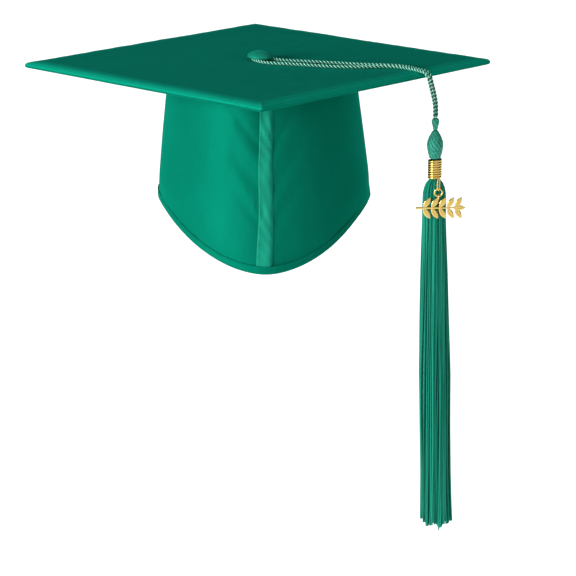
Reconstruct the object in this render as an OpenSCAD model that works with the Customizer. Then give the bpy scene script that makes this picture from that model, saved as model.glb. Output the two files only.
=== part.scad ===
// Graduation cap: a padded satin board, a fitted skull cap and a tassel on a doubled cord.
// Millimetres. The origin is the centre of the head opening, level with its rim at the sides,
// with +Z up, the board's front corner toward -Y and the wearer's left toward +X.

/* [Board] */
// Side of the square board over its cover
board_w = 241; // [220:1:260]
// Thickness of the board from cover to cover
board_t = 5; // [4.6:0.1:8]
// Height of the board's top face above the side rim
board_top = 100; // [90:1:120]
// Radius of the board's four corners, seen from above
corner_r = 2; // [1.5:0.5:12]
// How far the board's centre sits to one side of the skull cap's
board_shift = -3.5; // [-5:0.5:5]

/* [Skull cap] */
// Half width of the skull cap under the board
crown_a = 68; // [62:1:76]
// Half length of the skull cap under the board
crown_b = 84; // [76:1:94]
// Half width of the head opening, over the cloth
rim_a = 78; // [70:1:84]
// Half length of the head opening, over the cloth
rim_b = 96; // [86:1:104]
// How far the front peak dips below the side rim
peak_dip = 34; // [10:1:40]
// Angle from the front at which the peak's curve meets the level rim
peak_angle = 82; // [60:1:90]
// Angle from the front of the two back seams
back_seam = 115; // [100:1:140]
// Height of the binding round the rim
binding_h = 5; // [3:0.5:10]
// Width of the raised strip over the front seam
welt_w = 8; // [5:0.5:12]

/* [Button] */
// Diameter of the covered button
button_d = 19.2; // [16:0.2:26]
// Height of the button's dome above its underside
button_h = 4.6; // [3.5:0.1:7]
// How far the button sits to one side of the board's centre
button_shift = 1.8; // [-3:0.1:3]
// How far the button sits in front of the board's centre
button_forward = 3; // [-4:0.5:6]

/* [Cord] */
// Diameter of the twisted cord, which runs doubled from the button to the knot
strand_d = 2.3; // [1.8:0.1:2.3]

/* [Tassel] */
// Length of the skirt below the coil band
skirt_l = 265; // [180:5:280]
// Diameter of the skirt's shoulders
skirt_top_d = 16.4; // [12:0.2:18]
// Diameter of the skirt at its end
skirt_end_d = 24.6; // [18:0.2:28]
// Largest diameter of the wrapped head
head_d = 11.7; // [9:0.1:13]
// Outer diameter of the coil band
coil_d = 10.1; // [9:0.1:11]
// Number of turns in the coil band
coil_turns = 8; // [5:1:10]

/* [Charm] */
// Outer diameter of the jump ring
ring_od = 6.6; // [6:0.1:8]
// Diameter of the jump ring's wire
ring_wire = 1.2; // [0.8:0.1:1.4]
// Length of the charm, a sprig of laurel, from the end of its stem to the tip of its last leaf
charm_l = 35.3; // [30:0.1:40]
// Pairs of leaves on the charm's stem
leaf_pairs = 5; // [3:1:5]
// Length of each leaf
leaf_l = 8.8; // [7:0.1:10]
// Width of each leaf
leaf_w = 3.8; // [2.5:0.1:4.2]
// Thickness of the charm
charm_t = 1.6; // [1:0.1:2.5]

/* [Hidden] */

$fn = 96;
satin_green = [0.02, 0.42, 0.33];
deep_green = [0.01, 0.27, 0.21];
tassel_green = [0.08, 0.47, 0.36];
card_grey = [0.55, 0.53, 0.48];
wadding_white = [0.90, 0.90, 0.88];
gold = [0.90, 0.72, 0.35];

// The layers of the board, from the top face down
cover_t = 0.8;
padding_t = 1.0;
board_bottom = board_top - board_t;
card_bottom = board_bottom + cover_t;
card_top = board_top - cover_t - padding_t;
card_gap = 0.02;
inner_w = board_w - 2 * cover_t;

// The layers of the skull cap's wall, as depths below its outer face
wall_top = board_bottom - 1;
cloth_t = 1.0;
stiff_in = 1.1;
stiff_out = 1.9;
lining_in = 2.0;
lining_out = 2.6;
binding_t = 0.9;
welt_t = 1.3;
skin_gap = 0.05;
seam_gap = 0.2;
wall_steps = 32;

button_at = [board_shift + button_shift, -button_forward];
button_under = board_top + 2.5;
shank_r = 1.4;
shank_hole_r = 1.5;
neck_r = 4.2;

// The cord over the board: from the edge to the button, round its neck and back to the edge
cord_z = 101.2;
cord_plan = [
    [116.4, -49.8], [112.2, -45.4], [109, -40.2], [104, -36], [97, -34.3], [89, -33.4],
    [81, -32.4], [73, -30.4], [65, -27.8], [57, -24.8], [49, -22], [41, -19.2], [33, -16.7],
    [25, -14.5], [17.8, -12], [11.8, -8.4], [7, -3.8], [3.6, 0.6], [-0.6, 2.8], [-4.8, 2],
    [-7.4, -1.2], [-8, -5.6], [-7.2, -10.4], [-5.2, -15.2], [-1.4, -19.2], [4, -21.8],
    [10.6, -23.6], [17.4, -25.4], [24, -27.8], [31, -30.8], [38, -33.6], [46, -36.4],
    [54, -38.6], [62, -39.8], [70, -40], [78, -39.2], [86, -38.2], [94, -37.8], [100.5, -38.8],
    [105.8, -42.2], [110, -47], [114.5, -51.7]];

// The cord's bend over the edge and its drop to the knot, each run twice, side by side
cord_bend = [
    [115.4, -50.7, 101.2], [115.8, -51.1, 101.2], [117.8, -53.1, 100.7], [119.7, -55, 99],
    [121, -56.3, 96.3], [121.5, -56.8, 93.5], [121.5, -56.8, 93]];
tassel_at = [121.5, -56.8];
cord_hang = [for (z = [93, 85, 76, 67.8]) [tassel_at[0], tassel_at[1], z]];
edge_way = [sqrt(0.5), sqrt(0.5), 0];
leg_offset = 1.3 * edge_way;

// Heights down the tassel
knot_z = 64.5;
knot_r = 2.9;
head_top = 58.5;
head_bottom = 38.2;
coil_bottom = 22.7;
coil_gap = 0.1;
skirt_neck_r = 2.9;
skirt_end = coil_bottom - skirt_l;
ring_at = [123.3, -68, 15.6];
ring_r = (ring_od - ring_wire) / 2;
eye_r = 1.8;
eye_wire = 0.9;
eye_play = 0.4;
leaf_lean = 58;
leaf_pitch = 5.6;
leaf_off = 0.3;
stem_w = 1.5;
charm_mid = [ring_at[0] + 1.8, ring_at[1] + charm_t / 2, 4.2];

// ---- shared shapes ----

// Height of the rim at an angle from the front, in degrees, for -180 to 180
function rim_z(t) = abs(t) < peak_angle ? -peak_dip / 2 * (1 + cos(180 * t / peak_angle)) : 0;

// Half width and half length of the skull cap at a height
function half_a(z) = rim_a + (crown_a - rim_a) * z / wall_top;
function half_b(z) = rim_b + (crown_b - rim_b) * z / wall_top;

// A point of the skull cap's wall, a depth below its outer face
function wall_at(t, z, depth) = [(half_a(z) - depth) * sin(t), -(half_b(z) - depth) * cos(t), z];

function unit(v) = v / norm(v);

// A solid through a list of rings of points; the first and last are its ends unless it is closed
module skin(rings, closed = false) {
    m = len(rings[0]);
    n = len(rings);
    spans = closed ? n : n - 1;
    sides = [for (i = [0 : spans - 1], j = [0 : m - 1])
        let (a = i * m + j, b = i * m + (j + 1) % m, c = ((i + 1) % n) * m + (j + 1) % m,
             d = ((i + 1) % n) * m + j)
        each [[a, d, c], [a, c, b]]];
    caps = closed ? [] : [[for (j = [0 : m - 1]) j], [for (j = [m - 1 : -1 : 0]) (n - 1) * m + j]];
    polyhedron(points = [for (r = rings) each r], faces = concat(sides, caps));
}

// A stretch of the skull cap's wall between two angles, two depths and two heights above the rim
module wall(t0, t1, outer, inner, lift, top = undef, closed = false) {
    n = max(2, round(wall_steps * (t1 - t0) / 115));
    last = closed ? n - 1 : n;
    skin([for (i = [0 : last])
        let (t = t0 + (t1 - t0) * i / n, low = rim_z(t) + lift,
             high = is_undef(top) ? rim_z(t) + binding_h : top)
        [wall_at(t, low, outer), wall_at(t, low, inner),
         wall_at(t, high, inner), wall_at(t, high, outer)]], closed);
}

// The cord's tube of 8 sides along a list of points; side is a direction that it never runs along
module tube(points, side) {
    n = len(points);
    skin([for (i = [0 : n - 1])
        let (t = unit(points[min(i + 1, n - 1)] - points[max(i - 1, 0)]),
             a = unit(side - (side * t) * t), b = cross(t, a))
        [for (k = [0 : 7]) points[i] + strand_d / 2 * (cos(45 * k) * a + sin(45 * k) * b)]]);
}

// Two tubes side by side
module two_legs(points) {
    for (s = [-1, 1]) tube([for (p = points) p + s * leg_offset], edge_way);
}

// A square plate with rounded corners, turned so that a corner faces the front
module board_plate(w, r, z0, z1) {
    translate([board_shift, 0, z0]) rotate(45) linear_extrude(z1 - z0) union() {
        square([w - 2 * r, w], center = true);
        square([w, w - 2 * r], center = true);
        for (x = [-1, 1], y = [-1, 1]) translate([x, y] * (w / 2 - r)) circle(r);
    }
}

// An oval plate that closes the skull cap under the board
module crown_plate(depth, z0, z1) {
    translate([0, 0, z0]) linear_extrude(z1 - z0)
        polygon([for (t = [0 : 5 : 355]) [(crown_a - depth) * sin(t), (crown_b - depth) * cos(t)]]);
}

// The hole for the button's shank
module shank_hole() {
    translate([button_at[0], button_at[1], board_bottom - 5]) cylinder(r = shank_hole_r, h = 20);
}

// A ring of round wire: across the view, or edge on when turned
module wire_ring(at, r, wire, edge_on = false) {
    translate(at) rotate([90, 0, edge_on ? 90 : 0])
        rotate_extrude() translate([r, 0]) circle(d = wire, $fn = 32);
}

// A round rod between two points
module rod(p, q, d) {
    v = q - p;
    translate(p) rotate([0, acos(v[2] / norm(v)), atan2(v[1], v[0])]) cylinder(d = d, h = norm(v));
}

// ---- board ----

// Satin over the top and down the edges
module top_cover() {
    color(satin_green) difference() {
        board_plate(board_w, corner_r, board_bottom, board_top);
        board_plate(inner_w, corner_r - cover_t, board_bottom - 1, board_top - cover_t);
        shank_hole();
    }
}

// Thin wadding that rounds the top
module board_padding() {
    color(wadding_white) difference() {
        board_plate(inner_w - 1, corner_r - cover_t, card_top + card_gap, board_top - cover_t);
        shank_hole();
    }
}

// Stiff card that keeps the board flat
module board_core() {
    color(card_grey) difference() {
        board_plate(inner_w - 1, corner_r - cover_t, card_bottom, card_top);
        shank_hole();
    }
}

// Satin under the board, seamed inside the top cover's edge
module bottom_cover() {
    color(deep_green) difference() {
        board_plate(inner_w - 0.2, corner_r - cover_t, board_bottom, card_bottom);
        shank_hole();
    }
}

// ---- skull cap ----

module crown_panel() {
    color(satin_green) difference() {
        crown_plate(0, wall_top + 0.1, board_bottom);
        shank_hole();
    }
}

module crown_lining() {
    color(deep_green) difference() {
        crown_plate(lining_out + 0.3, wall_top - 0.6, wall_top + 0.1);
        shank_hole();
    }
}

module left_panel() {
    color(satin_green) wall(-back_seam, -seam_gap, 0, cloth_t, 0, wall_top);
}

module right_panel() {
    color(satin_green) wall(seam_gap, back_seam, 0, cloth_t, 0, wall_top);
}

module back_panel() {
    color(satin_green) wall_back(0, cloth_t, 0, wall_top);
}

// The wall between the two back seams, where the rim is level
module wall_back(outer, inner, low, high) {
    n = 36;
    t0 = back_seam + seam_gap;
    t1 = 360 - back_seam - seam_gap;
    skin([for (i = [0 : n])
        let (t = t0 + (t1 - t0) * i / n)
        [wall_at(t, low, outer), wall_at(t, low, inner),
         wall_at(t, high, inner), wall_at(t, high, outer)]]);
}

// A folded strip that covers the front seam from the binding to the board
module front_seam_welt() {
    span = welt_w / 2 / rim_b * 180 / PI;
    color(satin_green) wall(-span, span, -welt_t, -skin_gap, binding_h + 0.3, wall_top);
}

// Stiffening between the satin and the lining
module left_interlining() {
    color(wadding_white) wall(-back_seam, -seam_gap, stiff_in, stiff_out, 2, wall_top - 1);
}

module right_interlining() {
    color(wadding_white) wall(seam_gap, back_seam, stiff_in, stiff_out, 2, wall_top - 1);
}

module left_lining() {
    color(deep_green) wall(-back_seam, -seam_gap, lining_in, lining_out, 0.5, wall_top);
}

module right_lining() {
    color(deep_green) wall(seam_gap, back_seam, lining_in, lining_out, 0.5, wall_top);
}

module back_lining() {
    color(deep_green) wall_back(lining_in, lining_out, 0.5, wall_top);
}

// Elastic in a casing along the back of the rim
module elastic_band() {
    color(wadding_white) wall_back(stiff_in, stiff_out, 2, 12);
}

// Folded cloth sewn round the rim
module hem_binding() {
    color(satin_green) wall(-180, 180, -binding_t, -skin_gap, 0, undef, true);
}

// ---- button ----

// Half of a domed button's outline, grown by g over the core
function button_outline(g) =
    let (r = button_d / 2 - 0.5 + g, low = button_under + 0.5 - g, h = button_h - 1 + 2 * g)
    concat([[0, low]], [for (t = [-90 : 15 : 0]) [r - 0.8 + 0.8 * cos(t), low + 0.8 + 0.8 * sin(t)]],
           [for (t = [10 : 10 : 90]) [r * cos(t), low + 0.8 + (h - 0.8) * sin(t)]]);

module button_core() {
    color(card_grey) translate([button_at[0], button_at[1], 0])
        rotate_extrude() polygon(button_outline(0));
}

// Satin stretched over the core
module button_cover() {
    color(satin_green) translate([button_at[0], button_at[1], 0]) difference() {
        rotate_extrude() polygon(button_outline(0.5));
        rotate_extrude() polygon(button_outline(0.05));
        translate([0, 0, button_under - 1]) cylinder(r = neck_r, h = 1.45);
    }
}

// The neck that the cord is looped round, with the pin that holds the button through the board
module button_shank() {
    color(gold) translate([button_at[0], button_at[1], 0]) union() {
        translate([0, 0, board_top + 0.05]) cylinder(r = neck_r - 0.1, h = button_under + 0.4 - board_top);
        translate([0, 0, wall_top - 2]) cylinder(r = shank_r, h = board_top + 1 - wall_top + 2);
        translate([0, 0, wall_top - 2.2]) cylinder(r = 2.4, h = 0.8);
    }
}

// A washer that spreads the pin's pull inside the crown
module shank_washer() {
    color(gold) translate([button_at[0], button_at[1], wall_top - 1.35]) difference() {
        cylinder(r = 7, h = 0.7);
        translate([0, 0, -1]) cylinder(r = shank_hole_r, h = 3);
    }
}

// ---- cord ----

module cord_on_board() {
    color(tassel_green) tube([for (p = cord_plan) [p[0], p[1], cord_z]], [0, 0, 1]);
}

module cord_over_edge() {
    color(tassel_green) two_legs(cord_bend);
}

module cord_drop() {
    color(tassel_green) two_legs(cord_hang);
}

// ---- tassel ----

// A part turned about the tassel's hanging line
module about_tassel() {
    translate([tassel_at[0], tassel_at[1], 0]) rotate_extrude() children();
}

// The cord's knot, round on top so that the head can sway under the cord
module tassel_knot() {
    color(tassel_green) about_tassel() polygon(concat(
        [for (t = [90 : -15 : -30]) [knot_r * cos(t), knot_z + knot_r * sin(t)]],
        [[1.9, knot_z - 3.2], [1.7, head_top + 0.4], [0, head_top + 0.4]]));
}

// Half of the head's outline, shrunk by g
function head_outline(g) =
    let (z = head_bottom + 9.5, r = head_d / 2 - g)
    concat([[0, head_top - g], [1.9 - g / 2, head_top - g]],
           [for (t = [65 : -13 : -26]) [r * cos(t), z + (head_top - z - 1) * sin(t)]],
           [[coil_d / 2 - 0.4 - g, head_bottom + g], [0, head_bottom + g]]);

module head_bead() {
    color(card_grey) about_tassel() polygon(head_outline(1.1));
}

// Thread laid over the bead
module head_wrap() {
    color(tassel_green) difference() {
        about_tassel() polygon(head_outline(0));
        about_tassel() polygon(head_outline(1));
    }
}

// Metal wire wound round the tassel's neck
module coil_band() {
    pitch = (head_bottom - coil_bottom - coil_gap) / coil_turns;
    wire_r = 0.52 * pitch;
    color(gold) about_tassel() union() {
        for (i = [0 : coil_turns - 1])
            translate([coil_d / 2 - wire_r, coil_bottom + coil_gap / 2 + pitch * (i + 0.5)])
                circle(r = wire_r, $fn = 24);
        translate([3.4, coil_bottom + 0.3]) square([0.9, head_bottom - coil_bottom - 0.6]);
    }
}

// The tassel's strands, bound under the coil band
module skirt() {
    top_r = skirt_top_d / 2;
    end_r = skirt_end_d / 2;
    color(tassel_green) about_tassel() polygon([
        [0, head_bottom - 0.1], [skirt_neck_r, head_bottom - 0.1], [skirt_neck_r, coil_bottom - 0.1],
        [4.6, coil_bottom - 0.1], [5.9, coil_bottom - 2.2], [7.2, coil_bottom - 5.5],
        [top_r - 0.2, coil_bottom - 9.5], [top_r, coil_bottom - 14], [top_r + 0.1, coil_bottom - 32],
        [end_r - 2.1, coil_bottom - 0.4 * skirt_l], [end_r - 1.1, coil_bottom - 0.55 * skirt_l],
        [end_r - 1.0, coil_bottom - 0.85 * skirt_l], [end_r, skirt_end], [0, skirt_end]]);
}

// ---- charm ----

// Wire from the coil band with an eye for the jump ring
module charm_link() {
    eye = [ring_at[0], ring_at[1], ring_at[2] + ring_r + eye_play];
    color(gold) union() {
        wire_ring(eye, eye_r, eye_wire, true);
        rod(eye + [0, 1.3, 1.4], [ring_at[0], tassel_at[1] - 5, coil_bottom + 2.4], eye_wire);
    }
}

module jump_ring() {
    color(gold) wire_ring(ring_at, ring_r, ring_wire);
}

// A leaf shape, pointed at both ends
module leaf(h, w) {
    r = (h * h + w * w) / (4 * w);
    intersection() {
        translate([r - w / 2, 0]) circle(r);
        translate([w / 2 - r, 0]) circle(r);
    }
}

// A sprig of laurel: pairs of leaves along a stem and one at its tip, with an eye for the jump ring
module charm() {
    eye = [ring_at[0], ring_at[1], ring_at[2] - ring_r - eye_play];
    reach = (leaf_off + leaf_l) * cos(leaf_lean);
    first = ring_at[0] - charm_mid[0] - reach - leaf_pitch;
    tip = charm_l / 2;
    color(gold) union() {
        translate(charm_mid) rotate([90, 0, 0]) linear_extrude(charm_t) union() {
            for (i = [0 : leaf_pairs - 1], side = [-1, 1])
                translate([first + leaf_pitch * i, 0]) rotate(side * leaf_lean - 90)
                    translate([0, leaf_off + leaf_l / 2]) leaf(leaf_l, leaf_w);
            translate([tip - leaf_l / 2, 0]) rotate(-90) leaf(leaf_l, leaf_w);
            translate([-tip, -stem_w / 2]) square([charm_l - leaf_l + stem_w, stem_w]);
        }
        wire_ring(eye, eye_r, eye_wire, true);
    }
}

top_cover();
board_padding();
board_core();
bottom_cover();
crown_panel();
crown_lining();
left_panel();
right_panel();
back_panel();
front_seam_welt();
left_interlining();
right_interlining();
left_lining();
right_lining();
back_lining();
elastic_band();
hem_binding();
button_cover();
button_core();
button_shank();
shank_washer();
cord_on_board();
cord_over_edge();
cord_drop();
tassel_knot();
head_bead();
head_wrap();
coil_band();
skirt();
charm_link();
jump_ring();
charm();
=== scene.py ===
"""Looks of the graduation cap: satin board and skull cap, twisted cord, tassel and gilt charm.

Lengths are worked out in millimetres and become metres when a piece is built.
"""

import random
from math import atan2, cos, exp, pi, radians, sin, sqrt

import bmesh
import bpy
import numpy as np
from mathutils import Matrix, Vector


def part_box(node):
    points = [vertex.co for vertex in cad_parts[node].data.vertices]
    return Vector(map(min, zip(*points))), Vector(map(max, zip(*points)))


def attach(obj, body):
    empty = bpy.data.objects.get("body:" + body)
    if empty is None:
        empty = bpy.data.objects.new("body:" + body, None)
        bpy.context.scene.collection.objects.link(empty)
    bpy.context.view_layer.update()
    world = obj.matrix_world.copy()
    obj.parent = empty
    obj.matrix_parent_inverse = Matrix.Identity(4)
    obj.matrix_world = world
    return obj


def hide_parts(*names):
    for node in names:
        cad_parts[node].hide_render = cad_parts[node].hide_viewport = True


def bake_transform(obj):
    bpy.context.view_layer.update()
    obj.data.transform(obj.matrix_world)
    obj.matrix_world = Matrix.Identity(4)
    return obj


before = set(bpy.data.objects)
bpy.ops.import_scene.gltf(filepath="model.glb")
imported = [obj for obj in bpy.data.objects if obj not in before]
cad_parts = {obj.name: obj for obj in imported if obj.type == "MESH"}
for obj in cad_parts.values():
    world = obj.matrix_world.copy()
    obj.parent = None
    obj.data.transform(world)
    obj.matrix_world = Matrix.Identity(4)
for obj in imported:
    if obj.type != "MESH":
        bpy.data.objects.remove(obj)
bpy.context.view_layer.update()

MM = 0.001
FULL_TURN = 2 * pi


def box_mm(node):
    """Lowest and highest corners of a CAD node, in millimetres."""
    low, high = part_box(node)
    return np.array(low) / MM, np.array(high) / MM


# ---- driving places, from the frame, in mm and degrees ----

cover_low, cover_high = box_mm("top_cover")
board_top = cover_high[2]
board_bottom = cover_low[2]
board_centre = (cover_low + cover_high) / 2
corner_r = 2.0
half_side = ((cover_high[0] - cover_low[0]) / 2 - corner_r) / sqrt(2) + corner_r

panel_low, panel_high = box_mm("left_panel")
wall_top = panel_high[2]
peak_dip = -panel_low[2]
peak_angle = 82.0
back_seam = 115.0
welt_w = 8.0
crown_a, crown_b = box_mm("crown_panel")[1][:2]
binding_t = 0.9
rim_a, rim_b = box_mm("hem_binding")[1][:2] - binding_t

button_low, button_high = box_mm("button_cover")
button_at = (button_low + button_high) / 2
button_r = (button_high[0] - button_low[0]) / 2

coil_low, coil_high = box_mm("coil_band")
tassel_at = (coil_low + coil_high) / 2
head_low, head_high = box_mm("head_wrap")
skirt_foot = box_mm("skirt")[0][2]
knot_low, knot_high = box_mm("tassel_knot")
ring_low, ring_high = box_mm("jump_ring")
charm_low, charm_high = box_mm("charm")


def new_object(name, data):
    """An object in the scene for a mesh, a light or the camera."""
    thing = bpy.data.objects.new(name, data)
    bpy.context.scene.collection.objects.link(thing)
    return thing


# ---- camera ----

# Where the camera stands, a little to the left of the front corner, and its turn right, down and over
CAMERA_AT = (-23.2, -1614.3, board_top + 289.0)
CAMERA_TURNS = (1.46, 15.98, -0.15)


def add_camera():
    """The camera, where it stood for the photo."""
    yaw, pitch, roll = (radians(a) for a in CAMERA_TURNS)
    ahead = Vector((sin(yaw) * cos(pitch), cos(yaw) * cos(pitch), -sin(pitch)))
    level = ahead.cross(Vector((0, 0, 1))).normalized()
    upright = level.cross(ahead)
    right = cos(roll) * level + sin(roll) * upright
    up = cos(roll) * upright - sin(roll) * level
    facing = Matrix((right, up, -ahead)).transposed().to_4x4()
    data = bpy.data.cameras.new("camera")
    data.sensor_width = 36
    data.lens = 140
    camera = new_object("camera", data)
    camera.matrix_world = Matrix.Translation(Vector(CAMERA_AT) * MM) @ facing
    bpy.context.scene.camera = camera


add_camera()


# ---- mesh building ----

def run_along(path):
    """Distance along a path from its start, at each of its points."""
    return np.concatenate([[0], np.cumsum(np.linalg.norm(np.diff(path, axis=0), axis=1))])


class Shape:
    """Points, faces, uvs and shades gathered from several grids."""

    def __init__(self):
        self.points, self.faces, self.uvs, self.shades, self.count = [], [], [], [], 0

    def grid(self, points, u, v, wrap_u=False, wrap_v=False, shade=0.5):
        """Add a grid of points (rows by columns); u and v are the cloth's coordinates in mm."""
        points = np.asarray(points, float)
        self.shades.append(np.broadcast_to(shade, points.shape[:2]).ravel())
        rows, columns = points.shape[:2]
        row_spans = rows if wrap_u else rows - 1
        column_spans = columns if wrap_v else columns - 1
        i, j = np.meshgrid(np.arange(row_spans), np.arange(column_spans), indexing="ij")
        i, j = i.ravel(), j.ravel()
        i2, j2 = (i + 1) % rows, (j + 1) % columns
        corners = np.stack([i * columns + j, i2 * columns + j, i2 * columns + j2, i * columns + j2], 1)
        self.faces += (corners + self.count).tolist()
        u, v = np.asarray(u, float) * MM, np.asarray(v, float) * MM
        uv = np.stack([u[i], v[j], u[i + 1], v[j], u[i + 1], v[j + 1], u[i], v[j + 1]], 1)
        self.uvs.append(uv.reshape(-1, 2))
        self.points.append(points.reshape(-1, 3))
        self.count += rows * columns

    def fan(self, ring, centre, shade=0.5):
        """Close a ring of points with triangles to a centre point."""
        ring = np.asarray(ring, float)
        n = len(ring)
        self.faces += [[self.count + k, self.count + (k + 1) % n, self.count + n] for k in range(n)]
        spots = np.vstack([ring, [centre]])
        flat = spots[:, :2] * MM
        self.uvs.append(np.concatenate([flat[[k, (k + 1) % n, n]] for k in range(n)]))
        self.points.append(spots)
        self.shades.append(np.full(n + 1, shade))
        self.count += n + 1

    def close(self, *rings):
        """Close each ring of points to its middle."""
        for ring in rings:
            self.fan(ring, ring.mean(0))

    def tube(self, path, radius, sides=8, turn=0.0, caps=True, squash=1.0, shade=0.5, crest=None):
        """Add a tube along a path; radius is a number or one for each point, turn a twist in radians.

        Where crest gives the direction away from a rope's middle at each point, the shade runs from 0
        in the groove between plies to 1 at their crowns: painted shade in the grooves, painted light on
        the crowns.
        """
        path = np.asarray(path, float)
        n = len(path)
        radius = np.broadcast_to(radius, (n,))
        turn = np.broadcast_to(turn, (n,))
        along, side, out = frames(path)
        angle = np.arange(sides) / sides * FULL_TURN
        around = angle[None, :] + turn[:, None]
        ring = (np.cos(around)[..., None] * side[:, None] * squash
                + np.sin(around)[..., None] * out[:, None])
        points = path[:, None] + radius[:, None, None] * ring
        length = run_along(path)
        girth = FULL_TURN * float(radius.mean())
        if crest is not None:
            shade = np.clip(np.einsum("ijk,ik->ij", ring, crest), 0, 1)
        self.grid(points, length, np.arange(sides + 1) / sides * girth, wrap_v=True, shade=shade)
        if caps:
            end_shade = float(np.mean(shade))
            self.fan(points[0], path[0], end_shade)
            self.fan(points[-1], path[-1], end_shade)

    def loop(self, path, width, height, normal, sides=12):
        """Add a closed wire along a flat loop of points: width in the loop's plane, height across it."""
        path = np.asarray(path, float)
        ahead = np.roll(path, -1, 0) - np.roll(path, 1, 0)
        ahead /= np.linalg.norm(ahead, axis=1)[:, None]
        side = np.cross(ahead, normal)
        angle = np.arange(sides) / sides * FULL_TURN
        points = (path[:, None] + np.cos(angle)[None, :, None] * side[:, None] * width / 2
                  + np.sin(angle)[None, :, None] * np.asarray(normal, float) * height / 2)
        step = np.linalg.norm(np.roll(path, -1, 0) - path, axis=1)
        self.grid(points, np.concatenate([[0], np.cumsum(step)]),
                  np.arange(sides + 1) / sides * 4, wrap_u=True, wrap_v=True)

    def make(self, name, material, body, slot, *nodes):
        """A mesh object from all that was gathered, which rides on a body and stands for CAD nodes."""
        mesh = bpy.data.meshes.new(name)
        mesh.from_pydata((np.concatenate(self.points) * MM).tolist(), [], self.faces)
        uvs = np.concatenate(self.uvs).astype(np.float32)
        mesh.uv_layers.new(name="cloth").data.foreach_set("uv", uvs.ravel())
        shades = np.concatenate(self.shades).astype(np.float32)
        mesh.attributes.new("shade", "FLOAT", "POINT").data.foreach_set("value", shades)
        work = bmesh.new()
        work.from_mesh(mesh)
        bmesh.ops.recalc_face_normals(work, faces=work.faces)
        work.to_mesh(mesh)
        work.free()
        mesh.polygons.foreach_set("use_smooth", [True] * len(mesh.polygons))
        mesh.materials.append(material)
        piece = new_object(name, mesh)
        if body:
            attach(piece, body)
        if nodes:
            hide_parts(*nodes)
        return piece


def frames(path):
    """Unit vectors along a path, to its side and out of it, carried along without twisting."""
    along = np.gradient(path, axis=0)
    along /= np.linalg.norm(along, axis=1)[:, None]
    side = np.zeros_like(path)
    start = np.array([0.0, 0.0, 1.0]) if abs(along[0][2]) < 0.9 else np.array([sqrt(0.5)] * 2 + [0.0])
    side[0] = start - along[0] * (start @ along[0])
    side[0] /= np.linalg.norm(side[0])
    for k in range(1, len(path)):
        side[k] = side[k - 1] - along[k] * (side[k - 1] @ along[k])
        side[k] /= np.linalg.norm(side[k])
    return along, side, np.cross(along, side)


def smooth_path(points, step, closed=False):
    """A Catmull-Rom curve through the points, then points along it a fixed step apart."""
    points = np.asarray(points, float)
    if closed:
        padded = np.vstack([points[-1], points, points[0], points[1]])
    else:
        padded = np.vstack([2 * points[0] - points[1], points, 2 * points[-1] - points[-2]])
    t = np.linspace(0, 1, 24, endpoint=False)[:, None]
    curve = []
    for p0, p1, p2, p3 in zip(padded[:-3], padded[1:-2], padded[2:-1], padded[3:]):
        curve.append(0.5 * (2 * p1 + (p2 - p0) * t + (2 * p0 - 5 * p1 + 4 * p2 - p3) * t ** 2
                            + (3 * p1 - p0 - 3 * p2 + p3) * t ** 3))
    curve = np.vstack(curve + [points[:1] if closed else points[-1:]])
    length = run_along(curve)
    count = max(4, round(length[-1] / step))
    wanted = np.linspace(0, length[-1], count + 1)
    if closed:
        wanted = wanted[:-1]
    return np.stack([np.interp(wanted, length, curve[:, k]) for k in range(3)], 1)


def waves(x, y, seed, longest, shortest, count=9):
    """Soft cloth unevenness, about -1 to 1: a seeded sum of waves between two wavelengths in mm."""
    rng = random.Random(seed)
    total = np.zeros(np.broadcast(x, y).shape)
    weight = 0.0
    for _ in range(count):
        size = shortest * (longest / shortest) ** rng.random()
        angle = rng.uniform(0, pi)
        share = size / longest
        total += share * np.sin(FULL_TURN / size * (x * cos(angle) + y * sin(angle))
                                + rng.uniform(0, FULL_TURN))
        weight += share * share
    return total / sqrt(weight) / 1.6


def bump(x, centre, width):
    """A smooth bell, 1 at centre and fading to 0 over width."""
    return np.exp(-((x - centre) / width) ** 2)


def ease(x, low, high):
    """0 below low, 1 above high, smooth between."""
    t = np.clip((x - low) / (high - low), 0, 1)
    return t * t * (3 - 2 * t)


# ---- materials ----

class Tree:
    """A node tree with a short way to add nodes and their links."""

    def __init__(self, tree):
        self.tree = tree

    def add(self, kind, inputs=None, **settings):
        node = self.tree.nodes.new(kind)
        for key, value in settings.items():
            setattr(node, key, value)
        for key, value in (inputs or {}).items():
            if isinstance(value, bpy.types.NodeSocket):
                self.tree.links.new(value, node.inputs[key])
            else:
                node.inputs[key].default_value = value
        return node

    def math(self, operation, a, b=0.0):
        return self.add("ShaderNodeMath", {0: a, 1: b}, operation=operation).outputs[0]


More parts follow.
